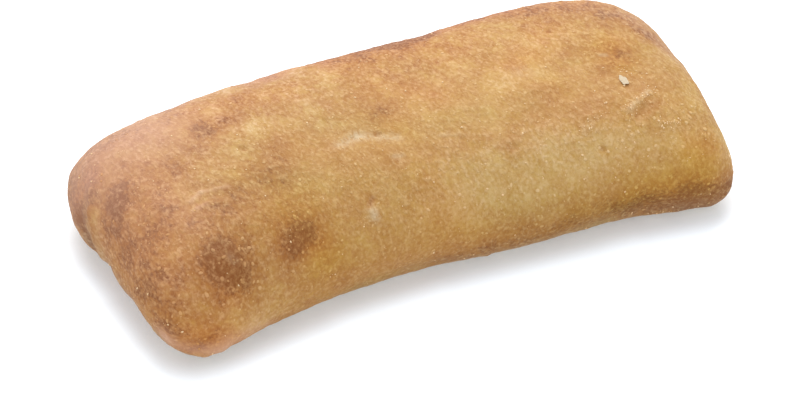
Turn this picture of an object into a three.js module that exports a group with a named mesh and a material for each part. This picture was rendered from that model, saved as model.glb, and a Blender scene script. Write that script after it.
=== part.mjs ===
// A whole ciabatta, one baked piece: a low slab of bread with rounded corners, a crowned top,
// walls that curl under to a flat foot, and a slight bend along its length.
// Millimetres. X runs along the loaf, Y across it and Z up. The origin is on the surface that
// the loaf rests on, under the middle of its outer box. The near side is -Y, the left end -X.

import * as THREE from 'three';
import { mergeVertices } from 'three/addons/utils/BufferGeometryUtils.js';

// Outer box of the loaf
const LENGTH = 250;
const WIDTH = 125.5;
const HEIGHT = 47.5;

// The slab before it is bent, and its walls, which stand furthest out at the belly
const SLAB_WIDTH = 119.5;
const BELLY_HEIGHT = 20;
const FOOT_TUCK = 12;
const FOOT_CURL = THREE.MathUtils.degToRad(68);

// How square the slab is, as the powers of a rounded box: along it, across it and upwards
const END_POWER = 11.5;
const SIDE_POWER = 3.6;
const CROWN_POWER = 1.47;

// The bend: how far the middle lies behind the ends, and how much of that is in front of the origin
const BEND = 12.3;
const BEND_SHARE_IN_FRONT = 0.45;
const BEND_TO_THE_LEFT = 2.7;

// Shares of the half width by which the loaf widens to the right and narrows in the middle
const RIGHT_END_WIDENING = 0.027;
const WAIST = 0.047;

// How the ends lean in plan, as a share of the width, and how far they are hollowed
const LEFT_END_SLANT = -0.017;
const RIGHT_END_SLANT = 0.054;
const LEFT_END_HOLLOW = 2.1;
const RIGHT_END_HOLLOW = 0.8;
const SLANT_POWER = 3;
const HOLLOW_POWER = 6;

// How far the low corners reach out past the rounded box, and the way they point from the length
const CORNERS = [
  { end: -1, side: -1, reach: 3.8 },
  { end: 1, side: -1, reach: 3.8 },
  { end: -1, side: 1, reach: 6.2 },
  { end: 1, side: 1, reach: -0.4 },
];
const CORNER_HEADING = THREE.MathUtils.degToRad(60);
const CORNER_END_POWER = 8;
const CORNER_SIDE_POWER = 3;

// Swellings of the crust, and hollows where the rise is below zero
const SWELLINGS = [
  { place: 'near left lobe', at: [-93, -63, 2], radius: 11, rise: 9 },
  { place: 'near side, left of the middle', at: [-40, -51, 4], radius: 24, rise: -1.5 },
  { place: 'near side, middle', at: [26, -50, 4], radius: 24, rise: 2.8 },
  { place: 'near side, toward the right end', at: [78, -56, 4], radius: 17, rise: -3.4 },
  { place: 'near right lobe', at: [116, -58, 1], radius: 11, rise: 4.6 },
  { place: 'right end, near half', at: [124, -42, 26], radius: 18, rise: -2.2 },
  { place: 'far right shoulder', at: [113, 48, 38], radius: 17, rise: -1.3 },
  { place: 'left end, far half', at: [-122, 22, 10], radius: 14, rise: 1.5 },
  { place: 'fold in the left end', at: [-122, 0, 8], radius: 8, rise: -0.8 },
  { place: 'low end of the ridge', at: [-93, -21, 46], radius: 19, rise: 0.9 },
  { place: 'middle of the ridge', at: [-68, -7, 47], radius: 18, rise: 0.9 },
  { place: 'high end of the ridge', at: [-46, 17, 47], radius: 18, rise: 0.8 },
  { place: 'dip beside the ridge', at: [-50, -25, 45], radius: 16, rise: -1.2 },
  { place: 'left blister', at: [-93, -47, 37], radius: 9, rise: 1.3 },
  { place: 'right blister', at: [-65, -44, 36], radius: 8, rise: 1.2 },
  { place: 'scar near the right end', at: [86, -39, 43], radius: 9, rise: 0.9 },
];

// Slow unevenness of the baked surface
const RIPPLE_SEED = 31;
const RIPPLE_WAVES = 7;
const RIPPLE_HEIGHT = 0.15;
const RIPPLE_SHORTEST = 26;
const RIPPLE_LONGEST = 62;

// Grid of the box that is rounded into the loaf, and the passes that find its rounded surface
const STEPS_ALONG = 60;
const STEPS_ACROSS = 28;
const STEPS_UP = 12;
const SOLVER_PASSES = 14;

const CRUST_COLOUR = 0xc99b60;
const CRUST_ROUGHNESS = 0.7;

// The grid value nearest to a box coordinate, so that points shared by two sides stay equal
function onGrid(value, steps) {
  return (Math.round(((value + 1) * steps) / 2) * 2) / steps - 1;
}

// Factor that carries a direction from the middle of the belly out to the rounded box
function reachOf(along, across, up) {
  let logReach = 0;
  for (let pass = 0; pass < SOLVER_PASSES; pass += 1) {
    const reach = Math.exp(logReach);
    const endPart = Math.abs(along * reach) ** END_POWER;
    const sidePart = Math.abs(across * reach) ** SIDE_POWER;
    const crownPart = (up * reach) ** CROWN_POWER;
    const total = endPart + sidePart + crownPart;
    const slope = END_POWER * endPart + SIDE_POWER * sidePart + CROWN_POWER * crownPart;
    logReach -= (Math.log(total) * total) / slope;
  }
  return Math.exp(logReach);
}

// Outward direction of the slab's plan outline at a share of its half length and half width
function outlineNormal(along, across) {
  const towardEnd = (END_POWER * Math.sign(along) * Math.abs(along) ** (END_POWER - 1)) / LENGTH;
  const towardSide = (SIDE_POWER * Math.sign(across) * Math.abs(across) ** (SIDE_POWER - 1)) / SLAB_WIDTH;
  return new THREE.Vector2(towardEnd, towardSide).normalize();
}

// Where a share of the half length and half width lies in the bent plan, with the wall tucked in
function planPoint(along, across, tuck, lowness) {
  const atLeft = along < 0;
  const slant = atLeft ? LEFT_END_SLANT : RIGHT_END_SLANT;
  const hollow = atLeft ? LEFT_END_HOLLOW : -RIGHT_END_HOLLOW;
  const widening = 1 + RIGHT_END_WIDENING * along - WAIST * (1 - along ** 2);
  let x = (LENGTH / 2) * along - tuck.x;
  let y = (SLAB_WIDTH / 2) * widening * across - tuck.y;
  x += slant * y * Math.abs(along) ** SLANT_POWER;
  x += hollow * (1 - across ** 2) * along ** HOLLOW_POWER;
  y += BEND * (1 - BEND_SHARE_IN_FRONT - along ** 2);
  y -= BEND_TO_THE_LEFT * along * (1 - along ** 2);
  for (const { end, side, reach } of CORNERS) {
    const endShare = Math.max(0, end * along) ** CORNER_END_POWER;
    const sideShare = Math.max(0, side * across) ** CORNER_SIDE_POWER;
    const push = reach * endShare * sideShare * lowness;
    x += Math.cos(CORNER_HEADING) * end * push;
    y += Math.sin(CORNER_HEADING) * side * push;
  }
  return [x, y];
}

// A point of the box from -1 to 1, carried to the loaf: crown above the belly, curled wall below it.
// The box's underside becomes the foot, where the outline is drawn in towards the middle.
function crustPoint(u, v, w) {
  const inward = w > -1 ? 1 : Math.max(Math.abs(u), Math.abs(v));
  const reach = inward > 0 ? reachOf(u, v, Math.max(w, 0)) : 0;
  const crown = Math.max(w, 0) * reach;
  const curl = Math.max(-w, 0) * FOOT_CURL;
  const tuckDepth = (FOOT_TUCK * (1 - Math.cos(curl))) / (1 - Math.cos(FOOT_CURL));
  const tuck = outlineNormal(u * reach, v * reach).multiplyScalar(tuckDepth * inward);
  const [x, y] = planPoint(u * reach * inward, v * reach * inward, tuck, 1 - crown);
  const wallHeight = BELLY_HEIGHT * (1 - Math.sin(curl) / Math.sin(FOOT_CURL));
  return [x, y, w > 0 ? BELLY_HEIGHT + (HEIGHT - BELLY_HEIGHT) * crown : wallHeight];
}

// Waves of seeded length, direction and phase that make the surface a little uneven
function rippleWaves() {
  const draw = THREE.MathUtils.seededRandom;
  draw(RIPPLE_SEED);
  return Array.from({ length: RIPPLE_WAVES }, () => {
    const heading = new THREE.Vector3(draw() - 0.5, draw() - 0.5, draw() - 0.5).normalize();
    const length = THREE.MathUtils.lerp(RIPPLE_SHORTEST, RIPPLE_LONGEST, draw());
    return { push: heading.multiplyScalar((2 * Math.PI) / length), phase: 2 * Math.PI * draw() };
  });
}

// Height of the swellings, hollows and ripple at a point of the crust
function reliefAt(point, waves) {
  let height = 0;
  for (const { push, phase } of waves) {
    height += RIPPLE_HEIGHT * Math.sin(push.dot(point) + phase);
  }
  for (const { at, radius, rise } of SWELLINGS) {
    const distance = point.distanceTo(new THREE.Vector3(...at)) / radius;
    height += rise * Math.exp(-(distance ** 2));
  }
  return height;
}

// The grid of a box rounded into the plain slab, with the sides joined into one skin
function slabGeometry() {
  const box = new THREE.BoxGeometry(2, 2, 2, STEPS_ALONG, STEPS_ACROSS, STEPS_UP);
  box.deleteAttribute('normal');
  box.deleteAttribute('uv');
  const points = box.attributes.position;
  for (let index = 0; index < points.count; index += 1) {
    const u = onGrid(points.getX(index), STEPS_ALONG);
    const v = onGrid(points.getY(index), STEPS_ACROSS);
    const w = onGrid(points.getZ(index), STEPS_UP);
    points.setXYZ(index, ...crustPoint(u, v, w));
  }
  return mergeVertices(box);
}

// Push the skin out by the relief along its own normals, and never down, so the foot stays flat
function raiseRelief(geometry) {
  geometry.computeVertexNormals();
  const points = geometry.attributes.position;
  const normals = geometry.attributes.normal;
  const waves = rippleWaves();
  for (let index = 0; index < points.count; index += 1) {
    const point = new THREE.Vector3().fromBufferAttribute(points, index);
    const outward = new THREE.Vector3().fromBufferAttribute(normals, index);
    outward.z = Math.max(outward.z, 0);
    point.addScaledVector(outward, reliefAt(point, waves));
    points.setXYZ(index, point.x, point.y, point.z);
  }
}

// Scale the loaf to its outer box, and stand the box on the origin
function fitToBox(geometry) {
  geometry.computeBoundingBox();
  const size = geometry.boundingBox.getSize(new THREE.Vector3());
  const middle = geometry.boundingBox.getCenter(new THREE.Vector3());
  geometry.translate(-middle.x, -middle.y, -geometry.boundingBox.min.z);
  geometry.scale(LENGTH / size.x, WIDTH / size.y, HEIGHT / size.z);
}

function loafMesh() {
  const geometry = slabGeometry();
  raiseRelief(geometry);
  fitToBox(geometry);
  geometry.computeVertexNormals();
  const crust = new THREE.MeshStandardMaterial({
    color: CRUST_COLOUR,
    roughness: CRUST_ROUGHNESS,
    metalness: 0,
  });
  const mesh = new THREE.Mesh(geometry, crust);
  mesh.name = 'loaf';
  return mesh;
}

const ciabatta = new THREE.Group();
ciabatta.name = 'ciabatta';
ciabatta.add(loafMesh());

export default ciabatta;
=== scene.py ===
# %% [markdown]
# A whole ciabatta, built for looks around its solid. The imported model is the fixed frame: every
# piece below is in metres, in the same place as the solid, and rides on its one body.

# %% Load the frame
import math

import bmesh
import bpy
import numpy as np
from mathutils import Matrix, Vector
from mathutils.bvhtree import BVHTree
from mathutils.kdtree import KDTree


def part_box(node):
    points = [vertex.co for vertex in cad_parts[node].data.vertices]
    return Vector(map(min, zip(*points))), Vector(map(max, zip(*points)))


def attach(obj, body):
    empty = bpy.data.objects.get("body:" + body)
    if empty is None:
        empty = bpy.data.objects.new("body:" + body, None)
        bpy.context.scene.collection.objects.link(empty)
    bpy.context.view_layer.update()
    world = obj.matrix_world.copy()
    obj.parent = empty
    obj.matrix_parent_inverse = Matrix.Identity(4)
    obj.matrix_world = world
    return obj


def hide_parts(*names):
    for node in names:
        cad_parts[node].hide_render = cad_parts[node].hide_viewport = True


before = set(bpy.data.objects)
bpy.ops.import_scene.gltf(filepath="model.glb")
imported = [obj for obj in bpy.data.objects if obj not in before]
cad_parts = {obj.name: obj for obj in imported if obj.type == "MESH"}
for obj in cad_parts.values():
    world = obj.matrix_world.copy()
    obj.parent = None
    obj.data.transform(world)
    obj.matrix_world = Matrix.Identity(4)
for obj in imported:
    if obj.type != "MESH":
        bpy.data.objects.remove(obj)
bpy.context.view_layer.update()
MM = 0.001
scene = bpy.context.scene
loaf_low, loaf_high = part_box("loaf")
print("loaf box in mm", [round(v / MM, 1) for v in (*loaf_low, *loaf_high)])

# %% [markdown]
# The photograph was taken with a long lens from a little to the left, looking down. A long lens far
# away keeps the loaf's long edges nearly parallel. The camera is moved sideways to place the loaf in
# the frame, instead of using lens shift, so that other views stay centred.

# %% Camera
CAMERA_AZIMUTH = math.radians(-25.86)
CAMERA_ELEVATION = math.radians(38.5)
CAMERA_DISTANCE = 1.7
CAMERA_LENS = 199.0
SENSOR_WIDTH = 36.0
FARTHEST_SEEN = 100.0
CAMERA_TO_RIGHT = 0.37 * MM
CAMERA_DOWN = 21.3 * MM


def heading(azimuth, elevation):
    """The direction from the loaf to a thing at an azimuth and elevation, azimuth 0 being the near side."""
    level = math.cos(elevation)
    return Vector((math.sin(azimuth) * level, -math.cos(azimuth) * level, math.sin(elevation)))


def make_camera():
    """A long-lens camera that looks along one direction, moved sideways to frame the loaf."""
    back = heading(CAMERA_AZIMUTH, CAMERA_ELEVATION)
    right = Vector((math.cos(CAMERA_AZIMUTH), math.sin(CAMERA_AZIMUTH), 0))
    up = back.cross(right)
    aim = Vector((0, 0, loaf_high.z / 2)) + right * CAMERA_TO_RIGHT - up * CAMERA_DOWN
    data = bpy.data.cameras.new("camera")
    data.lens = CAMERA_LENS
    data.sensor_width = SENSOR_WIDTH
    data.clip_end = FARTHEST_SEEN
    camera = bpy.data.objects.new("camera", data)
    turn = Matrix((right, up, back)).transposed().to_4x4()
    camera.matrix_world = Matrix.Translation(aim + back * CAMERA_DISTANCE) @ turn
    scene.collection.objects.link(camera)
    scene.camera = camera
    return camera


camera = make_camera()
print("camera at", [round(v, 3) for v in camera.matrix_world.translation])

# %% [markdown]
# Node trees are long to write out. The first helper adds one node, sets its options, and fills its
# inputs with values or with the outputs of nodes made before it. The others are short forms for sums, for
# smooth ramps and for new groups, so that a tree below reads like a list of steps.

# %% Node helpers
def put(tree, kind, inputs=None, **options):
    """Add a node to a tree, set its options, and fill its inputs with values or other outputs."""
    made = tree.nodes.new(kind)
    for name, value in options.items():
        setattr(made, name, value)
    for name, value in (inputs or {}).items():
        if isinstance(value, bpy.types.NodeSocket):
            tree.links.new(value, made.inputs[name])
        else:
            made.inputs[name].default_value = value
    return made


def calc(tree, operation, *terms):
    """The output of a Math node on the given terms."""
    return put(tree, "ShaderNodeMath", dict(enumerate(terms)), operation=operation).outputs[0]


def combine(tree, operation, *terms):
    """The output of a Vector Math node on the given terms."""
    return put(tree, "ShaderNodeVectorMath", dict(enumerate(terms)), operation=operation).outputs[0]


def scaled(tree, vector, factor):
    """A vector, or a colour, multiplied by a factor."""
    return put(tree, "ShaderNodeVectorMath", {0: vector, "Scale": factor}, operation="SCALE").outputs[0]


def parts_of(tree, vector):
    """The three parts of a vector, or of a colour."""
    return put(tree, "ShaderNodeSeparateXYZ", {0: vector}).outputs


def ramp_between(tree, value, low, high, bottom=0.0, top=1.0):
    """The value carried smoothly from the span low to high onto the span bottom to top."""
    spans = {"Value": value, "From Min": low, "From Max": high, "To Min": bottom, "To Max": top}
    return put(tree, "ShaderNodeMapRange", spans, interpolation_type="SMOOTHSTEP").outputs[0]


def new_group(name, kind, inputs, outputs):
    """An empty node group with named sockets, and the nodes that stand for them.

    An input is given as its default number, or as the kind of its socket, and an output as its kind.
    """
    tree = bpy.data.node_groups.new(name, kind)
    for label, given in inputs.items():
        sort = given if isinstance(given, str) else type(given).__name__.capitalize()
        socket = tree.interface.new_socket(label, in_out="INPUT", socket_type="NodeSocket" + sort)
        if sort != given:
            socket.default_value = given
    for label, sort in outputs.items():
        tree.interface.new_socket(label, in_out="OUTPUT", socket_type="NodeSocket" + sort)
    return tree, tree.nodes.new("NodeGroupInput"), tree.nodes.new("NodeGroupOutput")


# %% [markdown]
# The loaf's form is already in the solid, but as flat triangles. Modelling it again by hand, or a voxel
# remesh, would lose its exact size. So a copy of the solid's own mesh is joined into quads, its points
# slide along the solid until they are evenly spaced, and the result is the cage of a subdivision surface.
# Such a surface shrinks inside its cage, so the cage is pushed out until the surface meets the solid.

# %% Quads from the solid
WELD_DISTANCE = 0.01 * MM
ANY_ANGLE = math.pi
QUAD_REGULARITY = 1.5


def solid_as_quads(node, name):
    """A copy of a solid's mesh with its loose triangles joined into one skin of quads."""
    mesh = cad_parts[node].data.copy()
    mesh.name = name
    work = bmesh.new()
    work.from_mesh(mesh)
    bmesh.ops.remove_doubles(work, verts=work.verts, dist=WELD_DISTANCE)
    bmesh.ops.join_triangles(
        work,
        faces=work.faces,
        angle_face_threshold=ANY_ANGLE,
        angle_shape_threshold=ANY_ANGLE,
        topology_influence=QUAD_REGULARITY,
    )
    work.to_mesh(mesh)
    work.free()
    mesh.materials.clear()
    return mesh


def new_piece(name, mesh):
    """An object at the origin that shows the mesh."""
    piece = bpy.data.objects.new(name, mesh)
    scene.collection.objects.link(piece)
    return piece


loaf = new_piece("crust", solid_as_quads("loaf", "crust"))
quads = sum(len(face.vertices) == 4 for face in loaf.data.polygons)
print("quads", quads, "of", len(loaf.data.polygons), "faces")


# %% Even spacing
SLIDE = 0.5
POLISH_IN = 0.5
POLISH_OUT = 0.53


def points_of(mesh, what="co"):
    """The mesh's points, or their normals, as an array with a row for each point."""
    values = np.empty(len(mesh.vertices) * 3, np.float32)
    mesh.vertices.foreach_get(what, values)
    return values.reshape(-1, 3).astype(float)


def set_points(mesh, points):
    """Move the mesh's points."""
    mesh.vertices.foreach_set("co", points.astype(np.float32).ravel())
    mesh.update()


def neighbour_mean(mesh):
    """A function that gives, for values at the points, the mean over each point's neighbours."""
    ends = np.empty(len(mesh.edges) * 2, np.int32)
    mesh.edges.foreach_get("vertices", ends)
    first, second = ends.reshape(-1, 2).T
    count = np.bincount(ends, minlength=len(mesh.vertices))[:, None]

    def mean(values):
        """The mean over the neighbours, a row for each point."""
        total = np.zeros_like(values)
        np.add.at(total, first, values[second])
        np.add.at(total, second, values[first])
        return total / count

    return mean


def even_out(mesh, slides, polishes):
    """Slide the points along the solid until they are evenly spaced, then polish its facets away.

    A polish pulls the points in and pushes them out a little further, so that the loaf keeps its size.
    """
    work = bmesh.new()
    work.from_mesh(mesh)
    solid = BVHTree.FromBMesh(work)
    work.free()
    mean = neighbour_mean(mesh)
    points = points_of(mesh)
    for _ in range(slides):
        points += SLIDE * (mean(points) - points)
        points = np.array([solid.find_nearest(point)[0] for point in points])
    for _ in range(polishes):
        points += POLISH_IN * (mean(points) - points)
        points -= POLISH_OUT * (mean(points) - points)
    moved = np.linalg.norm(points - points_of(mesh), axis=1).max()
    set_points(mesh, points)
    return moved


moved = even_out(loaf.data, slides=30, polishes=4)
print("points moved by up to", round(moved / MM, 2), "mm")


# %% Cage of the smooth surface
def evaluated_mesh(piece):
    """A plain mesh of what the piece's modifiers make."""
    bpy.context.view_layer.update()
    graph = bpy.context.evaluated_depsgraph_get()
    return bpy.data.meshes.new_from_object(piece.evaluated_get(graph), depsgraph=graph)


def fit_cage(piece, passes):
    """Push the cage out until the smooth surface that it makes goes through the evened points."""
    wanted = points_of(piece.data)
    smooth = piece.modifiers.new("smooth", "SUBSURF")
    smooth.levels = 1
    smooth.render_levels = 1
    for _ in range(passes):
        result = evaluated_mesh(piece)
        reached = points_of(result)[: len(wanted)]
        bpy.data.meshes.remove(result)
        set_points(piece.data, points_of(piece.data) + wanted - reached)
    piece.modifiers.remove(smooth)
    return np.abs(wanted - reached).max()


miss = fit_cage(loaf, passes=2)
print("smooth surface within", round(miss / MM, 3), "mm of the evened points")

# %% [markdown]
# Baking leaves its marks at known places: two dark blisters near the left end, browned edges, a paler
# belly. A few marks are painted light instead: painted shade in a groove and low on the near wall, painted
# highlights on a crest and a blister, and a whitish painted sheen. Painting them by hand in the viewport
# could not be repeated, so each mark is a line on the loaf, from one point to another, with a soft radius
# in millimetres and an amount. A round mark is a line that starts where it ends. Some places carry several
# marks, as a wrinkle is raised, pale and whitened at once, so their lines are named once.

# %% Marks on the crust
LEAST_SQUARED_LENGTH = 1e-12
PLACES = {
    "upper wrinkle, left": [(-95, -18.5, 46), (-89.5, -15.8, 46.8)],
    "upper wrinkle, right": [(-89.5, -15.8, 46.8), (-79.5, -17.3, 47)],
    "middle wrinkle, left": [(-96, -23.5, 45.7), (-90, -22.3, 46.4)],
    "thin wrinkle": [(6.8, -21.4, 45.3), (14.9, -24.6, 44.8)],
    "torn skin": [(-30, -11.5, 46.3), (-22, -9, 46.4)],
    "torn skin, right": [(-22, -9, 46.4), (-9, -16, 46)],
    "pinhole in the torn skin": [(-23.6, -9.5, 46.3)],
    "pinhole right of it": [(-15.2, -11.1, 46.1), (-13.8, -11.4, 46.1)],
    "pinhole on the ridge": [(-64.3, 1.2, 47.3)],
    "pit in the far part": [(73.8, 18.4, 46.4)],
    "pit in the belly": [(63.5, -46.9, 37.2)],
    "pale blister": [(-31.2, -43.5, 34.5), (-31.2, -42, 36)],
    "crack over the pale blister": [(-31, -39.5, 38), (-29.5, -37.5, 39)],
    "groove behind the flake": [(87.8, -15.1, 45.9), (93.7, -21, 45.5)],
    "seam over the belly": [(89.4, -45.8, 40.3), (95.7, -46.9, 39)],
    "crest in the left end": [(-121.8, 10, 29.5), (-123.2, 0, 16.5)],
    "over the near right corner": [(97, -55, 32), (106, -56, 30)],
}


def at(name, radius, amount):
    """A mark at a place that carries several."""
    return name, PLACES[name][0], PLACES[name][-1], radius, amount


def spot(name, place, radius, amount):
    """A round mark."""
    return name, place, place, radius, amount


def nearness(points, start, end, radius):
    """One on the line from start to end, fading to nothing about two of its radii away."""
    start, end = np.array(start, float) * MM, np.array(end, float) * MM
    along = end - start
    share = np.clip((points - start) @ along / max(along @ along, LEAST_SQUARED_LENGTH), 0, 1)
    distance = np.linalg.norm(points - start - share[:, None] * along, axis=1)
    return np.exp(-((distance / (radius * MM)) ** 2))


def sum_of_marks(points, marks):
    """The marks' amounts added up at each point."""
    total = np.zeros(len(points))
    for _, start, end, radius, amount in marks:
        total += amount * nearness(points, start, end, radius)
    return total


def smooth_step(values, low, high):
    """Zero below low, one above high, and a smooth climb between them."""
    share = np.clip((values - low) / (high - low), 0, 1)
    return share * share * (3 - 2 * share)


print("places that carry several marks", len(PLACES))

# %% [markdown]
# Between its marks a crust is never smooth. It has low lumps over the bubbles in the dough, small round
# blisters and fine wrinkles, all well under a millimetre high. Sculpting them would take long, and bump
# alone would leave the outline smooth. A Geometry Nodes tree divides the cage finely and moves the points
# along their normals by three textures. Nothing moves at the foot, so the loaf still stands flat.

# %% Crust relief
NOISE_MIDDLE = 0.5
BLISTER_RIM = 0.5
LEAST_CHANCE = 0.45
FULL_CHANCE = 0.9


def finish_tree(tree, end, made, material):
    """End a tree with plain geometry in one material."""
    whole = put(tree, "GeometryNodeRealizeInstances", {0: made}).outputs[0]
    dressed = put(tree, "GeometryNodeSetMaterial", {"Geometry": whole, "Material": material}).outputs[0]
    tree.links.new(dressed, end.inputs[0])


def relief_height(tree, given, place):
    """How high lumps, blisters and wrinkles stand at a place, down to nothing at the foot."""

    def noise(size, height, detail, twist):
        """A cloudy height round zero, with its size and height from two of the tree's inputs."""
        scale = calc(tree, "DIVIDE", 1.0, given[size])
        inputs = {"Vector": place, "W": given["Seed"], "Scale": scale}
        inputs.update({"Detail": detail, "Distortion": twist})
        value = put(tree, "ShaderNodeTexNoise", inputs, noise_dimensions="4D").outputs[0]
        return calc(tree, "MULTIPLY", calc(tree, "SUBTRACT", value, NOISE_MIDDLE), given[height])

    lumps = noise("Lump size", "Lump height", detail=1.0, twist=0.0)
    wrinkles = noise("Wrinkle size", "Wrinkle height", detail=2.0, twist=1.2)
    scale = calc(tree, "DIVIDE", 1.0, given["Blister size"])
    cells = {"Vector": place, "W": given["Seed"], "Scale": scale}
    bubble = put(tree, "ShaderNodeTexVoronoi", cells, voronoi_dimensions="4D")
    chance = parts_of(tree, bubble.outputs["Color"])[0]
    dome = ramp_between(tree, bubble.outputs["Distance"], BLISTER_RIM, 0.0)
    chosen = ramp_between(tree, chance, LEAST_CHANCE, FULL_CHANCE)
    blisters = calc(tree, "MULTIPLY", calc(tree, "MULTIPLY", dome, chosen), given["Blister height"])
    total = calc(tree, "ADD", calc(tree, "ADD", lumps, wrinkles), blisters)
    above_foot = ramp_between(tree, parts_of(tree, place)[2], 0.0, given["Foot height"])
    return calc(tree, "MULTIPLY", total, above_foot)


def relief_tree():
    """A tree that divides the skin finely and raises lumps, blisters and wrinkles on it."""
    tree, start, end = new_group(
        "Crust relief",
        "GeometryNodeTree",
        {
            "Geometry": "Geometry",
            "Levels": 2,
            "Lump size": 9 * MM,
            "Lump height": 1.2 * MM,
            "Blister size": 4.6 * MM,
            "Blister height": 0.35 * MM,
            "Wrinkle size": 3 * MM,
            "Wrinkle height": 0.5 * MM,
            "Foot height": 4 * MM,
            "Seed": 3.0,
            "Material": "Material",
        },
        {"Geometry": "Geometry"},
    )
    given = start.outputs
    place = put(tree, "GeometryNodeInputPosition").outputs[0]
    normal = put(tree, "GeometryNodeInputNormal").outputs[0]
    push = scaled(tree, normal, relief_height(tree, given, place))
    divided = {"Mesh": given["Geometry"], "Level": given["Levels"]}
    skin = put(tree, "GeometryNodeSubdivisionSurface", divided).outputs[0]
    skin = put(tree, "GeometryNodeSetPosition", {"Geometry": skin, "Offset": push}).outputs[0]
    finish_tree(tree, end, skin, given["Material"])
    return tree


RELIEF = relief_tree()
print("nodes in the relief tree", len(RELIEF.nodes))


# %% Running a tree
def triangle_count(mesh):
    """How many triangles the mesh's faces make."""
    return sum(len(face.vertices) - 2 for face in mesh.polygons)


def run_tree(piece, tree, **values):
    """Run a tree on a piece, with its named inputs set, and keep the result as the piece's plain mesh."""
    modifier = piece.modifiers.new(tree.name, "NODES")
    modifier.node_group = tree
    for item in tree.interface.items_tree:
        key = item.name.lower().replace(" ", "_")
        if item.in_out == "INPUT" and key in values:
            modifier[item.identifier] = values[key]
    result = evaluated_mesh(piece)
    piece.modifiers.remove(modifier)
    old = piece.data
    piece.data = result
    if old.users == 0:
        bpy.data.meshes.remove(old)
    result.name = piece.name
    result.shade_smooth()
    return result


crust_look = bpy.data.materials.new("crust")
crust = run_tree(loaf, RELIEF, material=crust_look)
print("crust triangles", triangle_count(crust))

# %% [markdown]
# Some forms are in one place only: the crease in the left end, the burst skin at the scar, pinholes
# where steam came out, the thin lip where the wall turns under. Noise would not put them there, so they
# are raised or sunk one by one, along the surface's own normals, with the same soft lines as the marks.

# %% Forms one by one
FORMS = [
    ("crest in the left end, top", (-119, 20, 33), (-122, 13, 28), 3.2, 0.9),
    ("crest in the left end, foot", (-122, 13, 28), (-123, 2, 15), 2.6, 1.2),
    ("groove beside the crest", (-124, 20, 21), (-123.5, 8, 13), 3.0, -1.5),
    ("bump on the far edge", (-25, 48, 39), (-18, 43, 42), 4, 0.7),
    ("hollow in the far edge", (-4, 48, 38), (30, 46, 38), 12, -0.9),
    ("far left edge", (-64, 46, 40), (-52, 46, 40), 8, 0.5),
    ("hollow left of the bump", (-42, 44, 41), (-30, 44, 41), 6, -0.6),
    ("far right edge", (84, 41, 42), (100, 37, 42), 9, 0.7),
    ("far right edge, end", (99, 33, 41.5), (106, 29, 40.5), 6, 0.8),
    ("right end, far half", (111, 5, 40), (113, -2, 39), 6, -0.5),
    ("left tip", (-124, 30, 24), (-122, 38, 24), 8, -0.4),
    ("foot of the left end, far", (-122, 9, 7), (-121, -1, 6), 6, -1.3),
    ("foot of the left end, middle", (-122.5, -10, 13), (-122.5, -16, 13), 5, 0.7),
    ("foot of the left end, near", (-121.5, -22, 8), (-121.5, -31, 8), 6, -1.2),
    ("near foot, left", (-78, -54, 8), (-62, -51, 7), 8, 0.6),
    ("near foot, left of the middle", (-21, -50.5, 7), (-10, -50.5, 7), 6, -1.0),
    ("near foot, middle", (2, -50.8, 7), (12, -52, 7), 6, 0.6),
    ("near foot, right", (72, -53, 5), (92, -57, 5), 6, 0.5),
    at("upper wrinkle, left", 1.1, 0.5),
    at("upper wrinkle, right", 1.0, 0.45),
    ("under the upper wrinkle", (-93, -20.5, 46), (-84, -19.2, 46.8), 1.2, -0.2),
    at("middle wrinkle, left", 1.0, 0.35),
    ("middle wrinkle, right", (-90, -22.3, 46.4), (-82, -24.5, 46.5), 0.9, 0.3),
    ("lower wrinkle", (-93, -28, 45.2), (-84, -32, 45), 0.9, 0.3),
    at("torn skin", 2.2, -0.35),
    at("torn skin, right", 2.4, -0.35),
    ("hook beside the torn skin", (-34, -16.5, 46), (-33, -14, 46), 1.3, 0.4),
    at("pinhole in the torn skin", 1.1, -0.9),
    at("pinhole right of it", 1.1, -0.8),
    at("pinhole on the ridge", 1.3, -1.1),
    at("pit in the far part", 1.2, -0.8),
    at("pit in the belly", 1.3, -0.9),
    spot("pit, middle", (31, -36.2, 41.7), 1.6, -0.6),
    at("pale blister", 2.0, 0.8),
    at("crack over the pale blister", 1.0, -0.5),
    at("thin wrinkle", 1.0, 0.3),
    ("left blister", (-92, -46.5, 38), (-91, -48, 36.5), 5, 0.5),
    ("burst skin, low end", (79.5, -37.4, 44), (86, -35, 44.6), 1.8, 0.7),
    ("burst skin, high end", (86, -35, 44.6), (91.5, -31.8, 44.9), 1.6, 0.7),
    ("under the burst skin", (82, -41, 43), (90, -37, 43.5), 2.4, -0.6),
    at("groove behind the flake", 1.4, -0.6),
    ("curled wrinkle", (59.4, -39, 41.8), (63, -34.5, 44), 1.2, 0.4),
    ("curled wrinkle, end", (63, -34.5, 44), (67.9, -34, 44.1), 1.2, 0.4),
    at("seam over the belly", 1.2, 0.4),
    spot("bump on the right end", (111.5, -18.1, 40.2), 2.0, 0.6),
    spot("lower bump on the right end", (115.9, -24.2, 35.2), 2.0, 0.6),
    ("lip under the left lobe", (-119, -52, 10), (-108, -57.5, 6), 2.6, 0.6),
    ("tip of the left lobe", (-106.5, -58.3, 7), (-102.5, -59.3, 7), 4.6, 2.2),
    ("lip under the right lobe", (50, -52, 4), (80, -54, 4.5), 2.2, 0.4),
    ("lip under the right lobe, end", (80, -54, 4.5), (104, -60, 4.5), 2.6, 0.8),
    ("right lobe", (113, -61, 5), (117, -56, 7), 7, 0.5),
    ("corner of the right lobe", (107, -60.5, 6), (112, -60, 6), 4, 0.4),
]


def raise_forms(mesh, forms):
    """Push the skin out or in along its normals by the forms' heights, and never below the table."""
    points = points_of(mesh)
    rise = sum_of_marks(points, forms) * MM
    points += points_of(mesh, "normal") * rise[:, None]
    points[:, 2] = np.maximum(points[:, 2], 0)
    set_points(mesh, points)
    return rise


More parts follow.
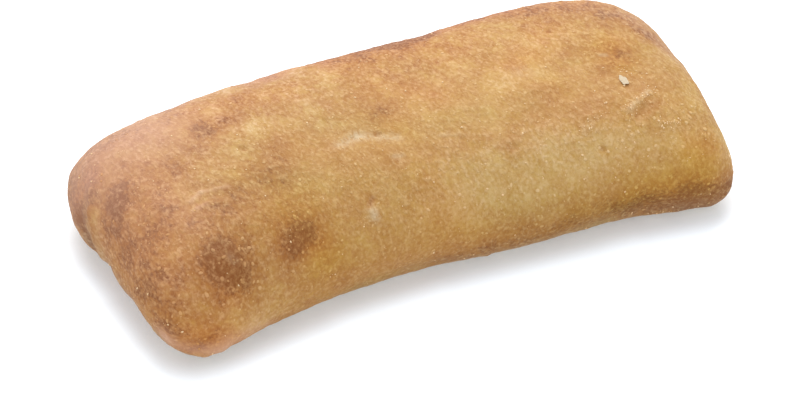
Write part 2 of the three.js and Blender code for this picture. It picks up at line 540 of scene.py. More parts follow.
rise = raise_forms(crust, FORMS)
print("forms from", round(rise.min() / MM, 2), "to", round(rise.max() / MM, 2), "mm")

# %% [markdown]
# A crust is darkest where it was driest and hottest. One number kept at each point, bake, runs from cream
# at zero to dark brown at one, and in a few places it also holds painted shade and painted highlights.
# Others say where a whitish painted sheen lies on the skin, where it is torn open to the cream crumb or lit
# by a painted highlight, where its brown turns warm or golden, how uneven it is, and where the floury base
# is.
# A painted image could hold all this, but numbers on the points need no file and no unwrapping, and the
# materials read them as attributes. The amounts were set by comparing renders with the photograph.

# %% How far each place is baked
EVEN_BAKE = 0.49
PALEST_BAKE = 0.2
BAKED = [
    ("left end", (-120, -55, 30), (-120, 30, 30), 26, 0.34),
    ("left third", (-92, -30, 42), (-86, 36, 44), 28, 0.12),
    ("left blister", (-93, -44, 40), (-91.5, -53, 31.5), 11, 0.29),
    ("left blister, middle", (-94.5, -43.5, 40), (-93, -49, 36), 6, 0.34),
    ("left blister, low left side", (-104.5, -48, 36), (-98, -53.5, 32), 5, 0.2),
    ("pale above the left blister", (-113, -34, 39), (-92, -37.5, 42.5), 6, -0.2),
    ("stain over the left blister", (-94, -30, 45), (-90, -29, 45.5), 5, 0.12),
    ("left blister, right side", (-92, -43, 40), (-86, -45, 39), 5, 0.12),
    ("pale beside the left blister", (-116, -40, 36), (-109, -47, 35), 5.5, -0.2),
    ("pale under the left blister", (-92, -59, 22), (-82, -60, 18), 8, -0.18),
    ("right blister", (-60, -42.5, 38), (-67, -47, 34.5), 12.5, 0.32),
    ("right blister, middle", (-60, -43, 37.5), (-65, -46.5, 34.5), 6.5, 0.18),
    ("right blister, right side", (-56, -43, 36), (-54, -47, 31), 5, 0.16),
    ("right blister, tail", (-66, -48, 33), (-70, -51, 29), 5, 0.1),
    ("beside the ridge", (-82, -25, 45), (-58, -12, 46), 9, 0.2),
    ("far edge, middle", (-5, 44, 41), (28, 36, 43), 13, 0.34),
    ("far edge, right", (75, 40, 41), (108, 20, 42), 13, 0.32),
    ("far edge, left", (-66, 42, 42), (-38, 38, 43.5), 9, 0.1),
    ("far edge, pale", (-57, 45, 41), (-50, 45, 41), 6, -0.3),
    ("far edge, pale bump", (-23, 46, 40), (-20, 46, 40), 7, -0.22),
    ("far edge, dark", (14, 47, 39), (28, 45, 40), 8, 0.36),
    ("near left wall", (-118, -55, 22), (-80, -60, 18), 14, -0.06),
    ("pale near left wall", (-108, -53, 31), (-110, -58, 23), 8, -0.22),
    ("rim of the left lobe", (-119.5, -53, 21), (-106, -60, 14), 5.5, 0.28),
    ("near wall, left of the middle", (-52, -52, 20), (-30, -52, 18), 8, 0.16),
    ("pale far left shoulder", (-113, 18, 39.5), (-106, 26, 42), 8, -0.2),
    ("far wall", (-110, 50, 18), (110, 42, 18), 16, 0.2),
    ("far rim", (-80, 50, 37), (66, 48, 38), 5, 0.26),
    ("right end", (124, -30, 18), (122, 30, 18), 14, 0.18),
    ("pale streak", (-22, -12, 46.5), (-14, -12, 46.5), 7, -0.06),
    ("pale belly", (8, -49, 30), (88, -53, 30), 14, -0.25),
    ("pale near side", (-45, -50, 32), (0, -48, 33), 14, -0.08),
    ("pale patch on the left", (-66, -1, 47.3), (-58, 8, 47), 7, -0.26),
    ("dark beside the pale patch", (-69, -16, 47), (-60, -20, 46.5), 5, 0.1),
    ("pale top on the right", (35, 5, 47), (70, 10, 47), 18, -0.12),
    ("pale top, right of the middle", (8, -10, 46), (26, -18, 46), 9, -0.1),
    ("pale before the far spots", (42, -8, 46.6), (58, -10, 46.6), 6, -0.1),
    ("stain beside the flake", (84, -25, 45.5), (96, -30, 44.6), 5, 0.1),
    ("pale far part, left", (-62, 30, 45), (-50, 33, 44.5), 6, -0.16),
    ("pale far part", (-30, 34, 44.5), (-22, 34, 44.5), 7, -0.14),
    ("pale far part, middle", (34, 27, 45.5), (38, 33, 44), 6.5, -0.34),
    ("pale behind the middle", (35, -1, 47), (40, 2, 46.8), 5, -0.14),
    ("pale streak, left", (-58, 13, 47), (-50, 12, 47), 5, -0.1),
    ("pale left of the ridge", (-82, -8, 47), (-72, -14, 47), 6, -0.09),
    ("left tip", (-117.5, 23, 35), (-121.5, 16, 29.5), 5, 0.26),
    ("left rim", (-122, 40, 22), (-124, 26, 22), 7, 0.2),
    ("pale right of the left lobe", (-97, -60, 12), (-90, -60, 11), 5, -0.14),
    ("pale beside the right blister", (-66, -51, 29), (-59, -50, 29), 5, -0.14),
    ("left blister, low side", (-92, -53, 32), (-90, -56, 28), 6, 0.08),
    ("pale right of the left blister", (-80, -46, 37), (-78, -50, 32), 5, -0.14),
    ("pale belly, top", (10, -36, 42.5), (82, -44, 40), 10, -0.13),
    ("pale left of the belly", (-18, -36, 41), (-11, -34, 42), 5, -0.16),
    ("stain left of the belly", (-16, -25, 45), (-14, -27, 44.6), 4, 0.14),
    ("streak behind the middle", (4, 20, 46), (11, 10, 46.6), 4, 0.16),
    ("stain on the far left", (-60, 21, 46.4), (-57, 18, 46.8), 4, 0.16),
    ("stain on the left end", (-113, 9, 39.5), (-112, 6, 40), 4, 0.14),
    ("stain on the left end, near", (-117, -27, 35), (-113, -29, 38), 5, 0.12),
    ("stain left of the wrinkles", (-104, -16, 43.5), (-102, -18, 44), 4, 0.12),
    ("stain on the far edge", (50, 46, 39.5), (56, 45, 40), 5, 0.2),
    ("pale beside the burst skin", (100, -41, 41), (108, -37, 40.5), 6, -0.12),
    ("near wall, pale foot", (52, -56, 6), (62, -57, 6), 7, -0.25),
    spot("spot far left", (-72, 19, 47), 7, 0.24),
    spot("spot left", (-54, -1, 47), 7, 0.24),
    ("spot on the left end", (-116, 2, 37), (-117, 2, 36), 6.5, 0.42),
    # Painted shade in the groove under the crest of the left end and at its foot, and a painted highlight
    # along the crest itself.
    ("groove in the left end", (-124, 22, 20), (-123.8, 9, 14), 3.6, 0.42),
    ("foot of the groove", (-123.5, 10, 13), (-123, 2, 10), 5, 0.35),
    at("crest in the left end", 2.4, -0.42),
    at("upper wrinkle, left", 1.0, -0.2),
    at("upper wrinkle, right", 1.0, -0.2),
    at("middle wrinkle, left", 1.0, -0.2),
    ("pale between the wrinkles", (-93, -19, 46), (-84, -19, 46.8), 4, -0.16),
    ("spot in the middle", (-11, -2, 46.6), (-8, 0, 46.6), 6, 0.36),
    spot("spot right", (92, -6.5, 46), 7, 0.46),
    ("stain right of the middle", (27, 4, 46.8), (52, 8, 46.6), 7, 0.17),
    spot("stain before the flake", (70, -30, 45), 6, 0.1),
    spot("spot right, far", (75.5, 4, 46.5), 5, 0.32),
    spot("spot right, near", (81.5, -13, 46), 4, 0.26),
    ("spot right of the middle", (56, -16, 46), (57, -18, 46), 6.5, 0.27),
    spot("small spot near the belly", (30, -36, 42), 5, 0.24),
    spot("burst skin", (89, -36.5, 43.8), 3, 0.12),
    ("under the burst skin", (82, -41, 43), (92, -38, 43.6), 3.2, 0.18),
    at("pinhole on the ridge", 1.3, 0.35),
    at("pinhole in the torn skin", 1.1, 0.5),
    at("pinhole right of it", 1.1, 0.5),
    at("crack over the pale blister", 1.2, 0.35),
    at("pit in the belly", 1.5, 0.4),
    at("pit in the far part", 1.3, 0.45),
    ("pale left of the middle", (-44, -28, 44), (-45, -44, 36), 7, -0.1),
    # Browning and painted shade: the near foot is darker where the wall turns under toward the floor.
    ("near foot, right", (68, -58, 11), (112, -60, 8), 7, 0.28),
    ("near foot, middle", (-18, -50, 10), (22, -53, 8), 6, 0.12),
    ("near wall, upper right", (68, -58, 23), (86, -61, 20), 9, 0.13),
    ("near wall, pale gap", (48, -57, 13), (55, -57, 12), 5, -0.16),
    ("near wall, dark stretch", (24, -55, 15), (46, -56.5, 14), 6, 0.12),
    ("pale right end, near half", (108, -60, 24), (114, -57, 22), 7, -0.28),
    ("right end, far half", (112, 6, 39.5), (119, -6, 36), 6, 0.3),
    ("right end, near edge", (118, -50, 24), (119, -42, 20), 6, -0.25),
    # Browning and painted shade: the near wall and its right corner are darker low down, where the wall
    # turns under.
    ("near wall, right", (60, -62, 14), (106, -62, 13), 13, 0.41),
    ("near right corner", (98, -62.5, 11), (113, -60, 8), 8.5, 0.34),
    ("near wall, middle", (0, -50, 13), (50, -56, 13), 12, 0.34),
]


def set_attribute(mesh, name, values):
    """Keep a number for each point of the mesh, for the materials and the scattering to read."""
    mesh.attributes.new(name, "FLOAT", "POINT").data.foreach_set("value", values.astype(np.float32))


points = points_of(crust)
normals = points_of(crust, "normal")
bake = np.maximum(EVEN_BAKE + sum_of_marks(points, BAKED), PALEST_BAKE)
set_attribute(crust, "bake", bake)
print("bake from", round(bake.min(), 2), "to", round(bake.max(), 2))

# %% Painted sheen and torn places
# Painted sheen: a whitish pink haze where light grazes the far rim, the far-left shoulder and the right
# end, and along the lower lips and foot where light comes back from the floor. On the wrinkles it whitens
# their pale edges.
PAINTED_SHEEN_MARKS = [
    ("far left shoulder", (-118, 34, 32), (-92, 32, 43), 20, 2.6),
    ("left of the ridge", (-112, 10, 42), (-102, -22, 44), 15, 1.0),
    ("left end", (-119, 25, 34), (-119, -45, 32), 9, 0.4),
    ("far rim, left", (-90, 52, 34), (-28, 50, 36), 10, 1.8),
    ("far rim, right", (-10, 52, 33), (70, 49, 33), 8, 0.5),
    ("far right edge", (85, 40, 40), (112, 24, 40), 10, 0.9),
    ("right end", (114, 15, 38), (118, -12, 36), 7, 0.8),
    ("lip of the left lobe", (-120, -50, 14), (-101, -61, 7), 3.6, 3.0),
    ("right of the left lobe", (-98, -60, 11), (-84, -58, 9), 5, 1.6),
    at("upper wrinkle, left", 1.1, 2.4),
    at("upper wrinkle, right", 1.0, 2.0),
    at("middle wrinkle, left", 1.0, 1.8),
    ("foot of the left end", (-121, 5, 12), (-119, -45, 9), 7, 1.2),
    ("near foot", (-20, -52, 4), (105, -59, 4), 5, 0.9),
]
CREAMED = [
    at("torn skin", 2.4, 0.34),
    at("torn skin, right", 2.4, 0.32),
    ("burst skin", (80, -37, 44), (91, -32, 44.9), 1.2, 0.5),
    # Painted highlight along the crest of the left end.
    ("crest in the left end", (-122, 8, 27), (-123, 1, 17), 1.3, 0.15),
    at("pale blister", 1.8, 0.55),
    # Painted highlight on the dome of the left blister.
    ("sheen on the left blister", (-91.5, -46.3, 38.5), (-90.5, -47.5, 37.5), 1.8, 0.14),
    ("mark right of the torn skin", (-14.2, -24.8, 44.7), (-11, -25.5, 44.7), 1.2, 0.25),
    at("thin wrinkle", 0.9, 0.16),
    ("sliver on the right", (84.5, -4, 46.1), (87, -4.6, 46.1), 0.9, 0.25),
    ("pale flecks near the flake", (50, 0, 47), (58, -3, 47), 4, 0.12),
]


def mark_crust(name, start, marks):
    """Keep a number at each point of the crust: a start value with the marks added to it."""
    values = start + sum_of_marks(points, marks)
    set_attribute(crust, name, values)
    print(name, "from", round(values.min(), 2), "to", round(values.max(), 2))


mark_crust("painted_sheen", 0, PAINTED_SHEEN_MARKS)
mark_crust("cream", 0, CREAMED)

# %% Warm and golden places
WARMED = [
    ("left end", (-118, 24, 35), (-117, -46, 32), 16, 0.9),
    ("left part", (-100, 25, 44), (-104, -25, 44), 14, 0.5),
    ("left tip", (-118, 24, 34), (-123, 28, 24), 6, 1.2),
    # Painted highlight: the crest of the left end is made less warm.
    ("crest in the left end", (-123, 14, 24), (-123.5, 6, 18), 4, -0.9),
    ("foot of the left end", (-124, 14, 14), (-120, -45, 9), 6, -1.6),
    ("left blister", (-94, -48, 36), (-96, -54, 29), 8, 1.0),
    ("right blister", (-66, -46, 35), (-57, -47, 33), 7, 0.8),
    ("left lobe", (-112, -57, 14), (-98, -60, 10), 10, 1.0),
    ("left lobe, top", (-108, -58, 19), (-102, -61, 14), 6, 0.7),
    ("far edge, middle", (-8, 36, 43), (24, 36, 43), 11, 0.9),
    ("far part, middle", (-2, 16, 46.5), (14, 2, 46.8), 9, 0.7),
    ("far part, right", (52, 4, 46.7), (72, 18, 46), 10, 0.8),
    ("far part, left", (-70, 36, 43), (-34, 28, 45), 8, 0.7),
    ("far edge, right", (75, 40, 42), (95, 36, 42), 9, 0.8),
    ("far left", (-80, 25, 45), (-68, 22, 46), 10, 0.6),
    ("spot right", (90, -8, 46), (93, 0, 46), 7, 0.8),
    at("over the near right corner", 6, 0.8),
    ("right end, far half", (114, 20, 38), (118, -12, 36), 7, -0.8),
    ("right end, near half", (116, -50, 26), (118, -44, 22), 7, -0.6),
    ("right end, upper", (104, -10, 42), (112, -42, 36), 11, -0.6),
    ("near wall, middle", (14, -50, 26), (68, -57, 14), 10, -0.8),
    ("far rim", (-34, 48, 38), (66, 46, 39), 7, 1.1),
    ("far part, right of the middle", (30, 20, 46), (46, 30, 45), 9, 0.6),
    ("top, middle", (2, -17, 46), (28, -17, 46), 8, -0.6),
    ("top, right of the middle", (42, -20, 46), (48, -18, 46), 6, -0.5),
    ("near foot", (-40, -51, 5), (60, -56, 5), 6, -1.8),
    ("near foot, right", (60, -56, 4), (104, -59, 4), 5, -1.4),
    ("near wall, left of the middle", (-6, -47, 32), (10, -50, 27), 9, 0.5),
    ("belly, top", (12, -38, 41), (60, -44, 38), 9, -0.5),
    ("top, left of the middle", (-32, 2, 47), (-16, -4, 46.5), 8, -0.7),
    ("beside the ridge", (-84, -14, 46.5), (-52, -22, 46), 9, -0.5),
    spot("pale patch on the left", (-64, 0, 47), 8, -0.6),
    ("left of the middle", (-55, -25, 45), (-20, -35, 43), 12, -0.4),
]
EVEN_GOLD = 0.07
GOLDEN = [
    ("left blister", (-93, -46, 38.5), (-92, -53, 32), 8, 0.9),
    ("right blister", (-61, -38, 40), (-56, -51, 28), 10, 1.2),
    ("beside the ridge", (-70, -15, 47), (-56, -26, 45.5), 8, 0.55),
    ("spot far left", (-78, 22, 46), (-72, 20, 46.5), 7, 0.7),
    ("near wall, right", (74, -58, 19), (99, -60, 22), 9, 1.8),
    ("left tip", (-120, 29, 29), (-122, 14, 28), 7, 1.2),
    ("left part", (-110, -26, 42), (-88, -20, 46), 9, 0.4),
    ("tip of the left lobe", (-107, -60, 15), (-99, -60.5, 15), 6, 1.0),
    ("near side of the left end", (-120, -36, 28), (-114, -54, 20), 8, 0.6),
    ("near wall, left of the middle", (-50, -50, 26), (-12, -50, 24), 8, 0.35),
    ("near wall, middle", (-6, -49, 22), (40, -55, 14), 7, 0.6),
    ("near wall, right of the middle", (48, -57, 19), (64, -58, 17), 6, 1.2),
    ("spot right", (90, -2, 46), (90, -10, 46), 9, 1.3),
    ("spot right of the middle", (57, 6, 46.8), (60, -18, 46), 6, 0.5),
    ("spot in the middle", (-12, 0, 46.6), (-4, -18, 46), 6, 0.6),
    ("belly, top", (6, -32, 43.5), (62, -40, 41), 10, -0.45),
    ("foot", (-20, -51, 4), (70, -56, 4), 5, -0.7),
    ("foot of the left lobe", (-96, -61, 8), (-82, -60, 8), 8, -0.8),
    ("foot of the left end", (-124, 16, 15), (-120, -48, 11), 6, -0.9),
    # Painted highlight: the crest of the left end is made less golden.
    at("crest in the left end", 4, -0.6),
    ("far left shoulder", (-114, 34, 34), (-94, 24, 44.5), 14, -0.8),
    ("right end, near half", (118, -53, 24), (109, -59, 25), 6, -0.5),
    ("near right corner", (98, -62, 15), (110, -61, 12), 6, 0.6),
    at("over the near right corner", 6, 0.6),
    ("left of the ridge", (-110, -44, 39), (-78, 2, 47), 14, -0.25),
    ("far rim, left", (-88, 46, 39), (-20, 43, 42), 10, -0.9),
    ("far part, left", (-62, 20, 46), (-30, 18, 47), 12, -0.4),
    ("far rim, right", (36, 46, 39), (64, 44, 40), 8, -0.7),
    ("right end, far half", (110, 18, 40), (117, -10, 37), 7, -0.8),
]

mark_crust("warm", 0, WARMED)
mark_crust("golden", EVEN_GOLD, GOLDEN)

# %% Uneven places and the base
UNEVEN = [
    ("left part", (-112, -45, 30), (-98, 36, 40), 34, 0.7),
    ("far part", (-60, 36, 43), (105, 30, 43), 26, 1.1),
    ("belly", (-20, -48, 33), (80, -52, 32), 20, -0.15),
    ("top, middle", (-30, -18, 46), (40, -18, 46), 18, -0.2),
    ("left blister", (-94, -45.5, 38.5), (-92, -50, 35), 7, -1.3),
    ("right blister", (-60, -43.5, 37), (-66, -46.5, 34.5), 7, -0.9),
]
BASE_STARTS = 0.55
BASE_IS_FULL = 0.9

mark_crust("uneven", 1, UNEVEN)
foot = smooth_step(-normals[:, 2], BASE_STARTS, BASE_IS_FULL)
set_attribute(crust, "foot", foot)
print("share of points on the base", round(foot.mean(), 2))

# %% [markdown]
# A finish is a tree of nodes as well. These helpers open a material's tree, place a shared group in it,
# read one of the numbers kept at the points, add up weighted parts, and mix numbers or colours, so that
# each finish reads as a recipe.

# %% Shader helpers
def tree_and_shader(look):
    """A material's node tree, and the shader in it that makes the finish."""
    look.use_nodes = True
    return look.node_tree, look.node_tree.nodes["Principled BSDF"]


def object_place(tree):
    """A place's coordinates on the object, in metres."""
    return put(tree, "ShaderNodeTexCoord").outputs["Object"]


def group(tree, shared, **values):
    """Place a shared group in a tree, with its own values, and give its first output."""
    inputs = {name.capitalize(): value for name, value in values.items()}
    return put(tree, "ShaderNodeGroup", inputs, node_tree=shared).outputs[0]


def attribute(tree, name):
    """The number kept for each point under a name."""
    return put(tree, "ShaderNodeAttribute", attribute_name=name).outputs["Fac"]


def total_of(tree, start, *parts):
    """A start value with each part added after it is multiplied by its weight."""
    for weight, value in parts:
        start = calc(tree, "MULTIPLY_ADD", value, weight, start)
    return start


# A Mix node has the same socket names for numbers and colours, so its sockets are given by position
def blend_numbers(tree, share, first, second):
    """The first number, with the second mixed in by a share."""
    return put(tree, "ShaderNodeMix", {0: share, 2: first, 3: second}).outputs[0]


def blend_colours(tree, share, first, second, mode="MIX"):
    """The first colour, with the second mixed in or multiplied on by a share."""
    inputs = {0: share, 6: first, 7: second}
    return put(tree, "ShaderNodeMix", inputs, data_type="RGBA", blend_type=mode).outputs[2]


# %% [markdown]
# Close up, the crust is made of clouds of browning in several sizes, with round pale specks between them.
# These effects come again and again in the finishes below, so each is a shader node group that is built
# once and placed with its own sizes and seed. Clouds come from a noise texture, and specks from the
# middles of a Voronoi texture's cells, of which only a share is kept.

# %% Clouds and specks
NOISE_GAIN = 4.0
MIDDLE_GREY = (0.5, 0.5, 0.5)
SMALLEST_SPECK = 0.5
SPECK_SPREAD = 0.7


def mottle_group():
    """Cloudy unevenness of one size, from about minus one to one."""
    tree, start, end = new_group(
        "Mottle",
        "ShaderNodeTree",
        {"Vector": "Vector", "Size": 5 * MM, "Detail": 1.0, "Twist": 0.0, "Seed": 0.0},
        {"Value": "Float"},
    )
    given = start.outputs
    inputs = {
        "Vector": given["Vector"],
        "W": given["Seed"],
        "Scale": calc(tree, "DIVIDE", 1.0, given["Size"]),
        "Detail": given["Detail"],
        "Distortion": given["Twist"],
    }
    cloud = put(tree, "ShaderNodeTexNoise", inputs, noise_dimensions="4D").outputs[0]
    centred = calc(tree, "MULTIPLY", calc(tree, "SUBTRACT", cloud, NOISE_MIDDLE), NOISE_GAIN)
    tree.links.new(centred, end.inputs[0])
    return tree


def speckle_group():
    """Round specks of one size at random places, one in the middle of a speck and zero between them."""
    tree, start, end = new_group(
        "Speckle",
        "ShaderNodeTree",
        {
            "Vector": "Vector",
            "Spacing": 2 * MM,
            "Share": 0.5,
            "Radius": 0.4,
            "Core": 0.3,
            "Wobble": 0.5,
            "Seed": 0.0,
        },
        {"Mask": "Float"},
    )
    given = start.outputs
    scale = calc(tree, "DIVIDE", 1.0, given["Spacing"])
    noise = {"Vector": given["Vector"], "W": given["Seed"], "Scale": scale, "Detail": 0.0}
    ripple = put(tree, "ShaderNodeTexNoise", noise, noise_dimensions="4D").outputs["Color"]
    ripple = combine(tree, "SUBTRACT", ripple, MIDDLE_GREY)
    ripple = scaled(tree, ripple, calc(tree, "MULTIPLY", given["Wobble"], given["Spacing"]))
    place = combine(tree, "ADD", combine(tree, "ADD", given["Vector"], ripple), given["Seed"])
    cells = put(tree, "ShaderNodeTexVoronoi", {"Vector": place, "Scale": scale})
    chances = parts_of(tree, cells.outputs["Color"])
    kept = calc(tree, "LESS_THAN", chances[0], given["Share"])
    size = calc(tree, "MULTIPLY_ADD", chances[1], SPECK_SPREAD, SMALLEST_SPECK)
    size = calc(tree, "MULTIPLY", given["Radius"], size)
    core = calc(tree, "MULTIPLY", size, given["Core"])
    round_off = ramp_between(tree, cells.outputs["Distance"], size, core)
    tree.links.new(calc(tree, "MULTIPLY", round_off, kept), end.inputs[0])
    return tree


MOTTLE = mottle_group()
SPECKLE = speckle_group()
print("shared effects", MOTTLE.name, "and", SPECKLE.name)

# %% [markdown]
# Baked crust runs through one scale of colours, from cream through gold to dark brown. A colour ramp holds
# that scale, and a second group gives the colour of a raised fleck, which is less baked than the crust
# round it and a little pinker. Both are groups, so that every finish takes its colours from one place.

# %% Crust colours
BAKE_COLOURS = [
    (0.0, (0.70, 0.480, 0.230)),
    (0.15, (0.62, 0.387, 0.140)),
    (0.3, (0.56, 0.317, 0.098)),
    (0.5, (0.49, 0.245, 0.073)),
    (0.7, (0.445, 0.203, 0.060)),
    (0.85, (0.38, 0.158, 0.046)),
    (1.0, (0.265, 0.100, 0.030)),
]


def bake_colour_group():
    """The crust's colour for how far it is baked, from cream through gold to dark brown."""
    tree, start, end = new_group("Bake colour", "ShaderNodeTree", {"Bake": 0.5}, {"Colour": "Color"})
    scale = put(tree, "ShaderNodeValToRGB", {"Fac": start.outputs["Bake"]})
    stops = scale.color_ramp.elements
    while len(stops) < len(BAKE_COLOURS):
        stops.new(0.5)
    for stop, (position, colour) in zip(stops, BAKE_COLOURS):
        stop.position = position
        stop.color = (*colour, 1)
    tree.links.new(scale.outputs["Color"], end.inputs[0])
    return tree


FLECK_CREAM = (0.80, 0.53, 0.295, 1)
FLECK_LIFT = 0.25
FLECK_SHARE = 0.4


def fleck_colour_group():
    """The colour of a raised fleck: paler than the crust round it, and toward a pinkish cream."""
    tree, start, end = new_group("Fleck colour", "ShaderNodeTree", {"Bake": 0.5}, {"Colour": "Color"})
    paler = group(tree, BAKE_COLOUR, bake=calc(tree, "SUBTRACT", start.outputs["Bake"], FLECK_LIFT))
    tree.links.new(blend_colours(tree, FLECK_SHARE, paler, FLECK_CREAM), end.inputs[0])
    return tree


BAKE_COLOUR = bake_colour_group()
FLECK_COLOUR = fleck_colour_group()
print("colours of the crust", len(BAKE_COLOURS))

# %% [markdown]
# The pattern of the crust is one more group, because the blisters on it have to carry the same pattern to
# melt into it. It lets the bake wander with the clouds, gives a deep and a pale shade, and says how pale
# each place is. The texture space is squeezed across the loaf, as the clouds are longer that way.

# %% Layers of the crust
STRETCH = (1.0, 0.68, 1.0)
PEBBLE_SPAN = (-0.45, 1.05)
STROKE_SPAN = (0.3, 0.05)
THREAD_SPAN = (-0.5, 0.5)


def crust_layers(tree, place):
    """The layers of the crust's pattern at a place, from broad clouds down to grain and specks."""

    def cloudy(size, detail, twist, seed):
        """Clouds of one size at the place."""
        return group(tree, MOTTLE, vector=place, size=size, detail=detail, twist=twist, seed=seed)

    def specked(spacing, **shape):
        """Specks of one spacing at the place."""
        return group(tree, SPECKLE, vector=place, spacing=spacing, **shape)

    layers = {
        "broad": cloudy(10 * MM, detail=1.0, twist=0.4, seed=1.0),
        "gold": cloudy(6 * MM, detail=1.0, twist=0.6, seed=10.0),
        "clouds": cloudy(3.8 * MM, detail=2.0, twist=0.8, seed=2.0),
        "strokes": cloudy(2.4 * MM, detail=1.0, twist=1.5, seed=9.0),
        "patches": cloudy(1.9 * MM, detail=1.0, twist=0.6, seed=12.0),
        "pebbles": ramp_between(tree, cloudy(1.4 * MM, detail=2.0, twist=0.3, seed=4.0), *PEBBLE_SPAN),
        "grain": cloudy(1.0 * MM, detail=2.0, twist=0.5, seed=3.0),
        "bubbles": specked(2.0 * MM, share=0.6, radius=0.55, core=0.05, wobble=1.0, seed=6.0),
        "flecks": specked(2.4 * MM, share=0.35, radius=0.34, core=0.15, wobble=0.9, seed=5.0),
    }
    threads = ramp_between(tree, calc(tree, "ABSOLUTE", layers["strokes"]), *STROKE_SPAN)
    in_clouds = ramp_between(tree, layers["clouds"], *THREAD_SPAN)
    layers["threads"] = calc(tree, "MULTIPLY", threads, in_clouds)
    return layers


def layer_total(tree, layers, weights, start=0.0):
    """A start value with the layers added to it by their weights."""
    return total_of(tree, start, *((weight, layers[name]) for name, weight in weights.items()))


# %% Shades of the layers
LAYER_BAKE = {"broad": 0.12, "clouds": 0.14, "patches": 0.06}
GRAIN_BAKE = 0.1
GRAIN_BRIGHTNESS = -0.03
DEEP_BRIGHTNESS = 0.96
GOLD_SPAN = (-0.7, 0.9)
GOLD_TINT = (0.93, 0.89, 0.71, 1)
MOST_GOLD = 0.75
NO_SHIFT = (1, 1, 1)
WARM_SHIFT = (0.05, -0.05, -0.05)
GOLDEN_SHIFT = (0.0, 0.0, -0.25)
LAYER_PALENESS = {"pebbles": 0.8, "bubbles": 0.35}
THREAD_PALENESS = 0.3
BUNCH_SPAN = (-0.9, 0.5)
LEAST_BUNCHED = 0.45
EVEN_PALENESS = 0.8
UNEVEN_PALENESS = 0.2


def deep_and_pale(tree, given, layers):
    """The crust's deep and pale shades, shifted where it is warm or golden."""
    grain = layers["grain"]
    wander = layer_total(tree, layers, LAYER_BAKE)
    bake = calc(tree, "MULTIPLY_ADD", wander, given["Uneven"], given["Bake"])
    deep = group(tree, BAKE_COLOUR, bake=total_of(tree, bake, (GRAIN_BAKE, grain)))
    deep = scaled(tree, deep, total_of(tree, DEEP_BRIGHTNESS, (GRAIN_BRIGHTNESS, grain)))
    gilded = ramp_between(tree, layers["gold"], *GOLD_SPAN, 0.0, MOST_GOLD)
    deep = blend_colours(tree, gilded, deep, GOLD_TINT, "MULTIPLY")
    pale = group(tree, FLECK_COLOUR, bake=bake)
    shift = combine(tree, "MULTIPLY_ADD", given["Warm"], WARM_SHIFT, NO_SHIFT)
    shift = combine(tree, "MULTIPLY_ADD", given["Golden"], GOLDEN_SHIFT, shift)
    return combine(tree, "MULTIPLY", deep, shift), combine(tree, "MULTIPLY", pale, shift)


def paleness(tree, given, layers):
    """How pale a place is: bunches of pebbles, bubbles and flecks, with threads between them."""
    spots = calc(tree, "MAXIMUM", layer_total(tree, layers, LAYER_PALENESS), layers["flecks"])
    bunched = ramp_between(tree, layers["clouds"], *BUNCH_SPAN, LEAST_BUNCHED, 1.0)
    threads = calc(tree, "MULTIPLY", layers["threads"], THREAD_PALENESS)
    spots = calc(tree, "MAXIMUM", calc(tree, "MULTIPLY", spots, bunched), threads)
    uneven = total_of(tree, EVEN_PALENESS, (UNEVEN_PALENESS, given["Uneven"]))
    return calc(tree, "MULTIPLY", spots, uneven)


# %% Crust shades
HEIGHT_OVER_PEBBLES = {"bubbles": 0.5, "flecks": 0.8, "grain": 0.3, "threads": 0.15}


def crust_shades_group():
    """The crust's deep and pale shades at a place, how pale it is there, and its fine height."""
    tree, start, end = new_group(
        "Crust shades",
        "ShaderNodeTree",
        {"Place": "Vector", "Bake": 0.5, "Uneven": 1.0, "Warm": 0.0, "Golden": 0.0},
        {
            "Deep": "Color",
            "Pale": "Color",
            "Spots": "Float",
            "Clouds": "Float",
            "Strokes": "Float",
            "Height": "Float",
        },
    )
    given = start.outputs
    layers = crust_layers(tree, combine(tree, "MULTIPLY", given["Place"], STRETCH))
    deep, pale = deep_and_pale(tree, given, layers)
    made = {
        "Deep": deep,
        "Pale": pale,
        "Spots": paleness(tree, given, layers),
        "Clouds": layers["clouds"],
        "Strokes": layers["strokes"],
        "Height": layer_total(tree, layers, HEIGHT_OVER_PEBBLES, layers["pebbles"]),
    }
    for label, value in made.items():
        tree.links.new(value, end.inputs[label])
    return tree


CRUST_SHADES = crust_shades_group()
print("nodes in the crust shades", len(CRUST_SHADES.nodes))

# %% [markdown]
# The crust is dull, with a faint gleam on its raised flecks. Its colour starts from the deep and pale
# shades, gets a whitish painted sheen and cream tears where the numbers say so, and is mottled with flour
# on the base.
# An image would fit one side only, so all of it is worked out from object coordinates and the numbers at
# the points. Bump adds only the grain that is finer than the mesh.

# %% Crust material
# Colour and strength of the painted sheen.
PAINTED_SHEEN_COLOUR = (0.76, 0.48, 0.37, 1)
PAINTED_SHEEN_STRENGTH = 0.14
CREAM_COLOUR = (0.74, 0.62, 0.42, 1)
PATCHY_SPAN = (-0.9, 0.7)
PATCHY_CREAM = (0.35, 1.15)
BASE_COLOUR = (0.46, 0.31, 0.17, 1)
FLOUR_COLOUR = (0.72, 0.62, 0.46, 1)
FLOUR_SPAN = (-1.5, 1.0)
FLOUR_SHARE = 0.92
CRUST_GLOSS = 0.2
CRUST_ROUGHNESS = 0.6
CLOUD_ROUGHNESS = 0.05
SPOT_ROUGHNESS = -0.08
GRAIN_HEIGHT = 0.18 * MM
GRAIN_STRENGTH = 0.9


def crust_shades(tree):
    """The shared crust shades, placed on a piece and fed with the numbers that its points carry."""
    inputs = {"Place": object_place(tree)}
    for label in ("Bake", "Uneven", "Warm", "Golden"):
        inputs[label] = attribute(tree, label.lower())
    return put(tree, "ShaderNodeGroup", inputs, node_tree=CRUST_SHADES).outputs


